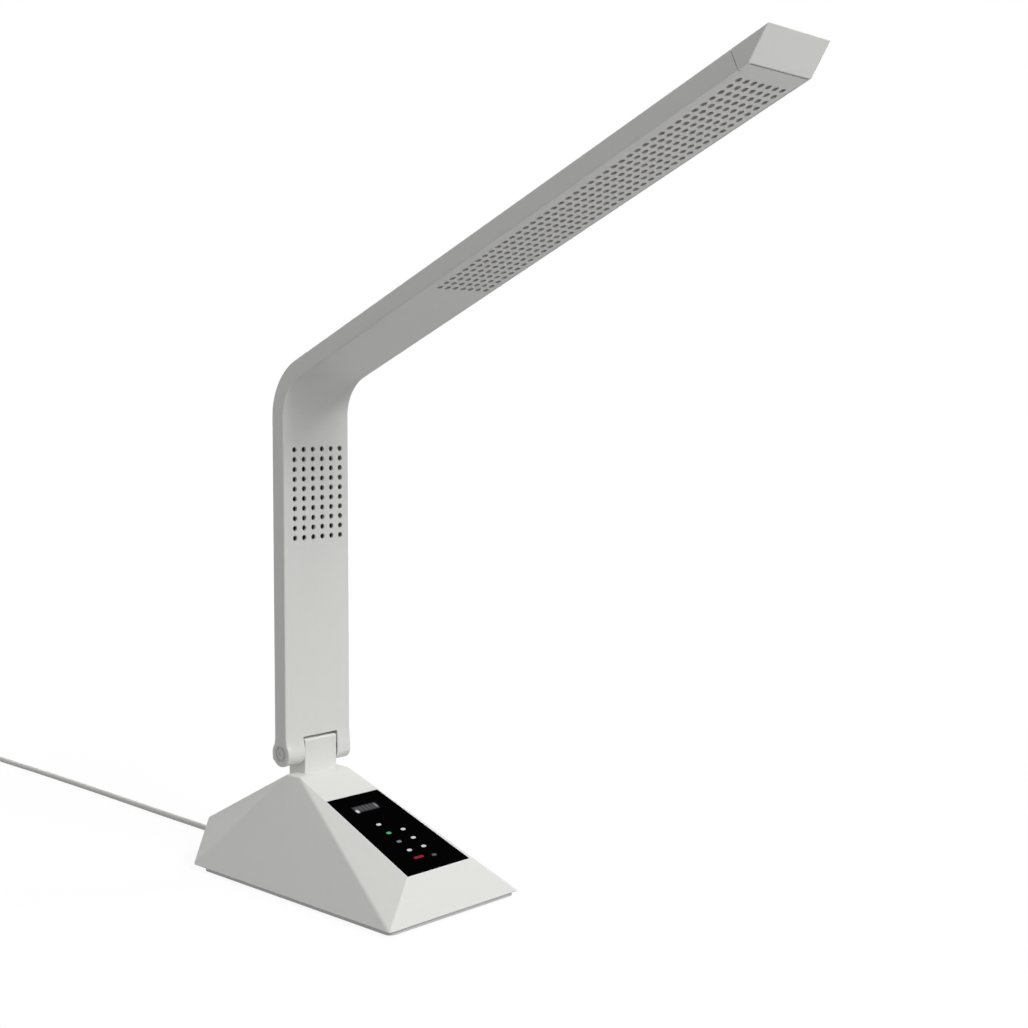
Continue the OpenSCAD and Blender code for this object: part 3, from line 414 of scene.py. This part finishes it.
# Lit windows of the keys: a slightly uneven glow in a tinted sheet
windowSettings = {
    "speckle": {"scale": 1500, "detail": 2},
    "leastGlow": 0.75,
    "speckleGlow": 0.5,
    "rough": 0.3,
    "speckleRough": 0.1,
    "specular": 0.05,
}


def litWindow(name, body, glow, strength, dimmed=None):
    settings = windowSettings
    made = Finish(name)
    speckle = made.grain(**settings["speckle"])
    share = settings["leastGlow"] + speckle * settings["speckleGlow"]
    if dimmed is not None:
        share = share * dimmed(made)
    return made.surface({
        "Base Color": body,
        "Roughness": settings["rough"] + speckle * settings["speckleRough"],
        "Specular IOR Level": settings["specular"],
        "Emission Color": made.blend(share.atMost(1.0), tone(0, 0, 0), glow),
        "Emission Strength": strength,
    })


# Two of the white keys are dim: the third of the left column and the lowest of the right one
keySettings = {
    "thirdRow": (-0.0475, -0.0430),  # metres along the panel
    "thirdDimmed": 0.75,
    "lowestRow": -0.0590,
    "lowestDimmed": 0.92,
}


def whiteKeyGlow(made):
    across, along = made.axes()
    low, high = keySettings["thirdRow"]
    third = (across < 0.0) * (along > low) * (along < high)
    lowest = (across > 0.0) * (along < keySettings["lowestRow"])
    return 1.0 - third * keySettings["thirdDimmed"] - lowest * keySettings["lowestDimmed"]


# Display: a dim lit band behind smoked glass, brightest in a spot at its left end, in metres
displaySettings = {
    "middle": -0.0133,
    "halfHeight": 0.0031,
    "ends": (-0.0096, 0.0082),
    "spot": (-0.0080, -0.0148, 0.0014, 0.0019),  # place, then half width and half height
    "rightEnd": (0.0071, -0.0131, 0.0012, 0.0027),
    "spotGlow": 0.8,
    "rightGlow": 0.2,
    "bandGlow": 0.06,
    "strokeGlow": 0.045,
    "edgeRise": 700.0,  # share of the glow gained per metre inside the band's edge
    "strokes": {"direction": "X", "scale": 120.0, "distortion": 2.5, "detail": 1.0},
    "glass": tone(8, 8, 9),
    "unlit": tone(4, 4, 5),
    "lit": tone(240, 240, 246),
    "rough": 0.2,
    "strokeRough": 0.1,
}


def displayGlass(name):
    settings = displaySettings
    made = Finish(name)
    across, along = made.axes()
    strokes = made.bands(**settings["strokes"])

    def patch(x, y, halfWidth, halfHeight):
        return (1.0 - ((across - x) / halfWidth) ** 2.0 - ((along - y) / halfHeight) ** 2.0).atLeast(0.0)

    def ramp(distance):
        return (distance * settings["edgeRise"]).atLeast(0.0).atMost(1.0)

    left, right = settings["ends"]
    inside = ramp(settings["halfHeight"] - (along - settings["middle"]).away())
    band = inside * ramp(across - left) * ramp(right - across)
    spot = patch(*settings["spot"]) * settings["spotGlow"]
    figures = spot + patch(*settings["rightEnd"]) * settings["rightGlow"]
    share = band * (settings["bandGlow"] + strokes * settings["strokeGlow"]) + figures
    return made.surface({
        "Base Color": settings["glass"],
        "Roughness": settings["rough"] + strokes * settings["strokeRough"],
        "Specular IOR Level": 0.0,
        "Emission Color": made.blend(share.atMost(1.0), settings["unlit"], settings["lit"]),
        "Emission Strength": 1.0,
    })


# Sheath of the cord and of the lead in the arm
sheathSettings = {
    "fine": {"scale": 700, "detail": 3},
    "dust": {"scale": 30, "detail": 3},
    "rough": 0.45,
    "fineRough": 0.15,
    "relief": {"strength": 0.2, "distance": 0.05 * mm},
}


def cordSheath(name, light, shade):
    settings = sheathSettings
    made = Finish(name)
    fine = made.grain(**settings["fine"])
    dust = made.grain(**settings["dust"])
    return made.surface({
        "Base Color": made.blend(dust, light, shade),
        "Roughness": settings["rough"] + fine * settings["fineRough"],
        "Normal": made.bump(fine, **settings["relief"]),
    })


# Weave of the strap, with some fuzz
weaveSettings = {
    "weave": {"direction": "Y", "scale": 480.0, "distortion": 0.6, "detail": 1.0},
    "fuzz": {"scale": 900, "detail": 3},
    "rough": 0.75,
    "fuzzRough": 0.15,
    "weaveHeight": 0.7,
    "fuzzHeight": 0.3,
    "relief": {"strength": 0.5, "distance": 0.1 * mm},
}


def strapWeave(name, light, shade):
    settings = weaveSettings
    made = Finish(name)
    weave = made.bands(**settings["weave"])
    fuzz = made.grain(**settings["fuzz"])
    height = weave * settings["weaveHeight"] + fuzz * settings["fuzzHeight"]
    return made.surface({
        "Base Color": made.blend(weave, light, shade),
        "Roughness": settings["rough"] + fuzz * settings["fuzzRough"],
        "Normal": made.bump(height, **settings["relief"]),
    })


finishes = {
    "body_white": mouldedPlastic("bodyWhite", tone(232, 232, 229), tone(227, 227, 224), 0.46),
    "cap_grey": mouldedPlastic("capGrey", tone(224, 224, 221), tone(216, 216, 213), 0.42),
    "cord_grey": cordSheath("cordGrey", tone(230, 230, 228), tone(222, 222, 220)),
    "adapter_white": mouldedPlastic("adapterWhite", tone(226, 226, 224), tone(218, 218, 215), 0.5),
    "plate_dark": mouldedPlastic("plateDark", tone(224, 224, 222), tone(216, 216, 214), 0.6),
    "pad_rubber": softRubber("padRubber", tone(58, 58, 60), tone(44, 44, 46), 0.75),
    "ballast_iron": turnedMetal("ballastIron", tone(120, 118, 114), tone(92, 90, 88), 0.5),
    "screw_steel": turnedMetal("screwSteel", tone(190, 190, 192), tone(160, 160, 164), 0.26),
    "pin_nickel": turnedMetal("pinNickel", tone(206, 202, 192), tone(186, 182, 174), 0.2, (1, 0.1, 1)),
    "bush_brass": turnedMetal("bushBrass", tone(204, 176, 110), tone(176, 146, 86), 0.3, (0.2, 1, 1)),
    "panel_black": panelSheet("panelBlack"),
    "display_grey": displayGlass("displayGrey"),
    "key_white": litWindow("keyWhite", tone(60, 62, 64), tone(226, 228, 232), 0.75, whiteKeyGlow),
    "key_green": litWindow("keyGreen", tone(26, 50, 36), tone(88, 188, 124), 0.75),
    "key_red": litWindow("keyRed", tone(46, 6, 14), tone(200, 14, 50), 0.38),
    "guide_milky": mouldedPlastic("guideMilky", tone(225, 225, 220), tone(210, 210, 206), 0.4),
    "diode_yellow": mouldedPlastic("diodeYellow", tone(226, 200, 96), tone(214, 180, 70), 0.35),
    "board_green": circuitBoard("boardGreen", tone(34, 96, 58), tone(20, 66, 38)),
    "board_black": circuitBoard("boardBlack", tone(38, 40, 40), tone(24, 25, 26)),
    "chip_dark": mouldedPlastic("chipDark", tone(48, 48, 50), tone(36, 36, 38), 0.55),
    "washer_grey": mouldedPlastic("washerGrey", tone(96, 96, 100), tone(82, 82, 86), 0.5),
    "strap_dark": strapWeave("strapDark", tone(46, 46, 48), tone(28, 28, 30)),
    "spreader_aluminium": turnedMetal("spreaderAluminium", tone(205, 206, 208), tone(188, 189, 192), 0.32),
    "lead_pale": cordSheath("leadPale", tone(222, 222, 214), tone(208, 208, 200)),
}
slotOfNode = {entry["node"]: entry["material_slot"] for entry in frame["record"]["subparts"]}
for name, piece in nodes.items():
    for place in piece.material_slots:
        place.material = finishes[slotOfNode[name]]
supplyCord.data.materials.append(finishes["cord_grey"])
print("lamp:", len(finishes), "finishes made")


# A new piece from a bmesh, with the finish of its slot
def pieceFrom(shape, name, slot):
    data = bpy.data.meshes.new(name)
    shape.to_mesh(data)
    shape.free()
    data.materials.append(finishes[slot])
    piece = bpy.data.objects.new(name, data)
    scene.collection.objects.link(piece)
    return piece


# Pieces with their edges rounded as the mould leaves them, each from its own solid
roundingSettings = {
    "weld": 2e-6,  # metres between points that become one
    "flat": 0.6,  # degrees between faces that become one
    "segments": 3,
    "inFront": 3e-5,  # metres by which a point may stand before a face that faces out
}


def facingShare(points, middle, normal):
    return np.mean((points - np.array(middle)) @ np.array(normal) < roundingSettings["inFront"])


def stayPut(place):
    return Vector((0, 0, 0))


def softenedCopy(settings):
    source = nodes[settings["node"]]
    shape = bmesh.new()
    shape.from_mesh(source.data)
    bmesh.ops.remove_doubles(shape, verts=shape.verts, dist=roundingSettings["weld"])
    flat = math.radians(roundingSettings["flat"])
    bmesh.ops.dissolve_limit(shape, angle_limit=flat, verts=shape.verts, edges=shape.edges)
    fit = settings.get("fit", stayPut)
    for vertex in shape.verts:
        vertex.co += fit(vertex.co)
    shape.normal_update()
    weights = shape.edges.layers.float.new("bevel_weight_edge")
    points = np.array([vertex.co[:] for vertex in shape.verts])
    widest = settings["widest"]
    for face in shape.faces:
        face.smooth = True
    for edge in shape.edges:
        if len(edge.link_faces) != 2 or edge.calc_face_angle(0) < math.radians(settings["turn"]):
            continue
        width = settings["rule"](edge, points) if edge.is_convex else 0
        edge[weights] = width / widest
        edge.smooth = width > 0
    piece = pieceFrom(shape, settings["name"], slotOfNode[settings["node"]])
    rounding = piece.modifiers.new("rounding", "BEVEL")
    rounding.limit_method = "WEIGHT"
    rounding.width = widest * mm
    rounding.segments = roundingSettings["segments"]
    rounding.use_clamp_overlap = False
    even = piece.modifiers.new("even", "WEIGHTED_NORMAL")
    even.keep_sharp = True
    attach(piece, settings["body"])
    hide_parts(settings["node"])
    print("lamp:", settings["name"], len(piece.data.polygons), "faces")
    return piece


def middleOf(edge):
    return (edge.verts[0].co + edge.verts[1].co) / 2


def bothFaceOut(edge, points, share):
    middle = middleOf(edge)
    return all(facingShare(points, middle, face.normal) > share for face in edge.link_faces)


baseSettings = {
    "node": "base_shell",
    "name": "baseShell",
    "body": "base",
    "turn": 12,  # degrees between two faces whose edge is rounded
    "widest": 1.1,
    "besidePanel": 0.3,
    "lowerEdge": 0.7,
    "slopeNormal": Vector((0, -0.349, 0.937)),
    "onSlope": 0.999,  # cosine
    "facingDown": -0.95,  # cosine
    "outShare": 0.9,  # of the shell's points, those behind a face that faces out
}


def baseEdge(edge, points):
    if not bothFaceOut(edge, points, baseSettings["outShare"]):
        return 0
    slope = baseSettings["slopeNormal"]
    if any(face.normal.dot(slope) > baseSettings["onSlope"] for face in edge.link_faces):
        return baseSettings["besidePanel"]
    if any(face.normal.z < baseSettings["facingDown"] for face in edge.link_faces):
        return baseSettings["lowerEdge"]
    return baseSettings["widest"]


baseSettings["rule"] = baseEdge
softenedCopy(baseSettings)

armSettings = {
    "node": "arm_shell",
    "name": "armShell",
    "body": "arm",
    "turn": 20,
    "widest": 0.8,
    "seam": 0.1,
    "slot": 0.35,
    "halfWidth": 24.0,
    "rimInside": 22.2,
    "slotSides": (-10.9, 13.9),
    "slotTop": 82.1,
    "coverFoot": 90.1,
    "seamClosed": 0.115,
    "noseSeam": 0.3,
    "socketRadius": 5.0,
    "hinge": (33.9, 73.3),
    "headWay": Vector((0, -0.9164, 0.4003)),
    "acrossHead": 0.99,  # cosine
    "headAbove": 300,  # height
    "slack": 0.02,
    "slotSlack": 0.05,
}


def acrossHead(edge):
    way = armSettings["headWay"]
    return any(abs(face.normal.dot(way)) > armSettings["acrossHead"] for face in edge.link_faces)


def fromHinge(place):
    hingeY, hingeZ = armSettings["hinge"]
    return math.hypot(place.y - hingeY, place.z - hingeZ)


def armEdge(edge, points):
    middle = middleOf(edge) / mm
    if acrossHead(edge):
        return armSettings["noseSeam"] if middle.z > armSettings["headAbove"] else 0
    if abs(abs(middle.x) - armSettings["halfWidth"]) < armSettings["slack"]:
        inSocket = fromHinge(middle) < armSettings["socketRadius"]
        return armSettings["seam"] if inSocket else armSettings["widest"]
    left, right = armSettings["slotSides"]
    slack = armSettings["slotSlack"]
    if left - slack < middle.x < right + slack and middle.z < armSettings["slotTop"] + slack:
        return armSettings["slot"]
    return 0


# The cover sits tight in its rim
def closeSeam(place):
    spot = place / mm
    shift = armSettings["seamClosed"]
    slack = armSettings["slack"]
    moved = stayPut(place)
    if abs(abs(spot.x) - armSettings["rimInside"]) < slack:
        moved.x = -math.copysign(shift, spot.x)
    if abs(spot.z - armSettings["coverFoot"]) < slack and spot.y < armSettings["hinge"][0]:
        moved.z = shift
    return moved * mm


armSettings["rule"] = armEdge
armSettings["fit"] = closeSeam
softenedCopy(armSettings)

noseSettings = {
    "node": "nose_cap",
    "name": "noseCap",
    "body": "arm",
    "turn": 12,
    "widest": 0.7,
    "seam": 0.3,
    "lip": 0.15,
    "headStart": Vector((0, 14.05, 289.14)),  # where the underside leaves the bend
    "headUp": Vector((0, 0.4003, 0.9164)),
    "lipStart": 324.8,
    "grooveStart": 324.3,
    "sideSeam": 318.6,
    "seamOpen": 0.35,
    "seamSlack": 0.05,
    "undersideSlack": 0.1,
    "outShare": 0.98,
}


def noseEdge(edge, points):
    fromBend = middleOf(edge) / mm - noseSettings["headStart"]
    along = fromBend.dot(armSettings["headWay"])
    onUnderside = abs(fromBend.dot(noseSettings["headUp"])) < noseSettings["undersideSlack"]
    if onUnderside and along > noseSettings["grooveStart"]:
        return noseSettings["lip"] if along > noseSettings["lipStart"] else 0
    if acrossHead(edge):
        return noseSettings["seam"]
    return noseSettings["widest"] if bothFaceOut(edge, points, noseSettings["outShare"]) else 0


# The joint with the arm shows as a fine line on the head's sides and top
def openSeam(place):
    along = (place / mm - noseSettings["headStart"]).dot(armSettings["headWay"])
    if abs(along - noseSettings["sideSeam"]) < noseSettings["seamSlack"]:
        return armSettings["headWay"] * noseSettings["seamOpen"] * mm
    return stayPut(place)


noseSettings["rule"] = noseEdge
noseSettings["fit"] = openSeam
softenedCopy(noseSettings)

postSettings = {
    "node": "hinge_post",
    "name": "hingePost",
    "body": "base",
    "turn": 12,
    "widest": 0.6,
    "sides": (-10.3, 13.3),
    "aboveFlange": 55.0,
    "boreClear": 4,
    "slack": 0.02,
}


def postEdge(edge, points):
    middle = middleOf(edge) / mm
    atSide = min(abs(middle.x - side) for side in postSettings["sides"]) < postSettings["slack"]
    atBore = fromHinge(middle) < postSettings["boreClear"]
    rounded = atSide and middle.z > postSettings["aboveFlange"] and not atBore
    return postSettings["widest"] if rounded else 0


postSettings["rule"] = postEdge
softenedCopy(postSettings)

adapterSettings = {
    "node": "adapter_body",
    "name": "adapterBody",
    "body": "base",
    "turn": 12,
    "widest": 3.0,
    "front": 479.0,
    "nub": 0.4,
    "slack": 0.1,
    "outShare": 0.6,
}


def adapterEdge(edge, points):
    if middleOf(edge).y / mm < adapterSettings["front"] - adapterSettings["slack"]:
        return adapterSettings["nub"]
    return adapterSettings["widest"] if bothFaceOut(edge, points, adapterSettings["outShare"]) else 0


adapterSettings["rule"] = adapterEdge
adapterBody = softenedCopy(adapterSettings)


# Strain relief: a ribbed, tapered sleeve round the cord
glandSettings = {
    "profile": [(4.0, 81.2), (4.0, 98.1), (5.2, 98.3), (5.2, 100.0), (4.9, 100.3), (4.2, 100.5)],
    "ribs": 4,
    "ribStart": 101.0,
    "ribEnd": 110.8,
    "startRadius": 4.2,
    "endRadius": 2.75,
    "ribDepth": 0.55,
    "ribSteps": ((0.0, 0.0), (0.55, 0.0), (0.65, 1.0), (0.9, 1.0)),  # shares of the pitch and of the depth
    "tip": 112.0,
    "tipBevel": 0.4,
    "place": (3.0, 9.0),
    "sides": 40,
    "sharpTurn": 40,
}


def makeGland(settings):
    profile = list(settings["profile"])
    pitch = (settings["ribEnd"] - settings["ribStart"]) / settings["ribs"]
    taper = (settings["endRadius"] - settings["startRadius"]) / (settings["tip"] - settings["ribStart"])
    for index in range(settings["ribs"]):
        start = settings["ribStart"] + index * pitch
        for share, depth in settings["ribSteps"]:
            along = start + share * pitch
            radius = settings["startRadius"] + taper * (along - settings["ribStart"])
            profile.append((radius - depth * settings["ribDepth"], along))
    profile.append((settings["endRadius"], settings["tip"] - settings["tipBevel"]))
    profile.append((settings["endRadius"] - settings["tipBevel"], settings["tip"]))
    shape = bmesh.new()
    rings = []
    x, z = settings["place"]
    for radius, along in profile:
        ring = []
        for side in range(settings["sides"]):
            angle = 2 * math.pi * side / settings["sides"]
            spot = (x + radius * math.cos(angle), along, z + radius * math.sin(angle))
            ring.append(shape.verts.new(Vector(spot) * mm))
        rings.append(ring)
    for first, second in zip(rings, rings[1:]):
        for side in range(settings["sides"]):
            after = (side + 1) % settings["sides"]
            face = shape.faces.new((first[side], second[side], second[after], first[after]))
            face.smooth = True
    shape.faces.new(rings[0])
    shape.faces.new(list(reversed(rings[-1])))
    bmesh.ops.recalc_face_normals(shape, faces=shape.faces)
    piece = pieceFrom(shape, "cordGland", "cap_grey")
    piece.data.set_sharp_from_angle(angle=math.radians(settings["sharpTurn"]))
    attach(piece, "base")
    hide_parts("cord_gland")


makeGland(glandSettings)

# Strap that ties the coil: a woven band with rounded corners
strapSettings = {
    "thickness": 0.8,
    "width": 8.0,
    "corner": 2.4,
    "cornerSteps": 6,
    "gap": 0.3,
    "edgeBevel": 0.2,
    "edgeFlat": 0.6,  # share of the thickness
    "sharpTurn": 50,
}


def makeStrap(settings, coil):
    centre, inner, outer, top = coil
    cordRadius = cordSettings["diameter"] / 2
    half = settings["thickness"] / 2
    innerEdge = math.sqrt((inner - cordRadius) ** 2 - (settings["width"] / 2) ** 2) - settings["gap"]
    left = centre.x - outer - cordRadius - settings["gap"] - half
    right = centre.x - innerEdge + half
    low = half
    high = top + cordRadius + settings["gap"] + half
    corner = settings["corner"]
    line = []
    corners = [(right - corner, high - corner), (left + corner, high - corner),
               (left + corner, low + corner), (right - corner, low + corner)]
    for index, (cornerX, cornerZ) in enumerate(corners):
        for step in range(settings["cornerSteps"] + 1):
            angle = math.radians(90 * index + 90 * step / settings["cornerSteps"])
            way = Vector((math.cos(angle), 0, math.sin(angle)))
            line.append((Vector((cornerX, centre.y, cornerZ)) + corner * way, way))
    shape = bmesh.new()
    loops = []
    edge = settings["width"] / 2
    flat = edge - settings["edgeBevel"]
    side = settings["edgeFlat"]
    outline = [(-edge, -side), (-flat, -1), (flat, -1), (edge, -side),
               (edge, side), (flat, 1), (-flat, 1), (-edge, side)]
    for spot, way in line:
        loops.append([shape.verts.new((spot + Vector((0, along, 0)) + way * half * depth) * mm)
                      for along, depth in outline])
    for index, loop in enumerate(loops):
        after = loops[(index + 1) % len(loops)]
        for place in range(len(outline)):
            beside = (place + 1) % len(outline)
            shape.faces.new((loop[place], loop[beside], after[beside], after[place])).smooth = True
    bmesh.ops.recalc_face_normals(shape, faces=shape.faces)
    piece = pieceFrom(shape, "coilStrap", "strap_dark")
    piece.data.set_sharp_from_angle(angle=math.radians(settings["sharpTurn"]))
    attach(piece, "base")
    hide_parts("coil_tie")
    return piece


coilStrap = makeStrap(strapSettings, coilPlace)
print("lamp: cord pieces made")

# Floor, studio light and white background, in metres and watts
studioSettings = {
    "white": (1, 1, 1, 1),
    "floorSize": 30.0,
    "floorWhite": 0.88,  # share of plain white that the camera sees on the floor near the lamp
    "whiteFrom": 0.4,  # from the lamp to where that share starts to rise
    "whiteOver": 0.5,  # from there to where the floor is all white
    "floorGlow": 1.05,
    "floorPale": (0.86, 0.86, 0.86, 1),
    "floorBounce": (0.3, 0.3, 0.3, 1),  # what the floor sends back up to the lamp
    "worldLight": 0.2,
    "aim": (0.0, 0.0, 0.2),
    "softBoxes": [
        {"name": "topBox", "place": (0.1, -0.5, 2.4), "size": 1.0, "power": 3.2},
        {"name": "frontBox", "place": (0.1, -2.1, 1.85), "size": 0.8, "power": 24.6},
        {"name": "frontLeftBox", "place": (-0.4, -2.25, 1.65), "size": 0.8, "power": 10.4},
        {"name": "rightBox", "place": (1.6, -0.8, 2.0), "size": 0.8, "power": 17.2},
        {"name": "leftBox", "place": (-2.2, -0.2, 0.6), "size": 1.0, "power": 5.7},
        {"name": "rearBox", "place": (-1.2, 1.6, 1.6), "size": 1.2, "power": 3.5},
        {"name": "backBox", "place": (0.9, 2.2, 0.8), "size": 1.2, "power": 9.5},
        {"name": "lowCard", "place": (0.1, -0.6, 0.03), "size": 0.4, "power": 0.85, "aim": (0.0, -0.3, 0.4)},
    ],
}


def seenDirectly(made):
    rays = ("Is Camera Ray", "Is Glossy Ray", "Is Transmission Ray")
    camera, glossy, through = made.node("ShaderNodeLightPath", output=rays)
    return camera.atLeast(glossy).atLeast(through)


def makeStudio(settings):
    world = bpy.data.worlds.new("studio")
    scene.world = world
    world.use_nodes = True
    air = Finish("studio", world.node_tree)
    seen = seenDirectly(air)
    strength = settings["worldLight"] + seen * (1 - settings["worldLight"])
    backdrop = air.node("ShaderNodeBackground", None, {"Color": settings["white"], "Strength": strength})
    air.node("ShaderNodeOutputWorld", None, {"Surface": backdrop})
    bpy.ops.mesh.primitive_plane_add(size=settings["floorSize"])
    floor = bpy.context.object
    floor.name = "studioFloor"
    ground = Finish("studioFloor")
    seenFloor = seenDirectly(ground)
    matte = ground.node("ShaderNodeBsdfDiffuse", None,
                        {"Color": ground.blend(seenFloor, settings["floorBounce"], settings["floorPale"])})
    plain = ground.node("ShaderNodeEmission", None,
                        {"Color": settings["white"], "Strength": settings["floorGlow"]})
    across, along = ground.axes()
    distance = (across * across + along * along) ** 0.5
    rise = ((distance - settings["whiteFrom"]) / settings["whiteOver"]).atLeast(0.0).atMost(1.0)
    whiteShare = settings["floorWhite"] + rise * (1 - settings["floorWhite"])
    mixed = ground.node("ShaderNodeMixShader", None,
                        {0: seenFloor * whiteShare, 1: matte, 2: plain})  # factor, then both shaders
    ground.node("ShaderNodeOutputMaterial", None, {"Surface": mixed})
    floor.data.materials.append(ground.material)
    for box in settings["softBoxes"]:
        lamp = bpy.data.lights.new(box["name"], "AREA")
        lamp.shape = "DISK"
        lamp.size = box["size"]
        lamp.energy = box["power"]
        light = bpy.data.objects.new(box["name"], lamp)
        scene.collection.objects.link(light)
        light.location = box["place"]
        light.visible_camera = False
        light.rotation_mode = "QUATERNION"
        aim = Vector(box.get("aim", settings["aim"]))
        light.rotation_quaternion = (aim - light.location).to_track_quat("-Z", "Y")


makeStudio(studioSettings)
print("lamp: studio made")

bpy.context.view_layer.update()
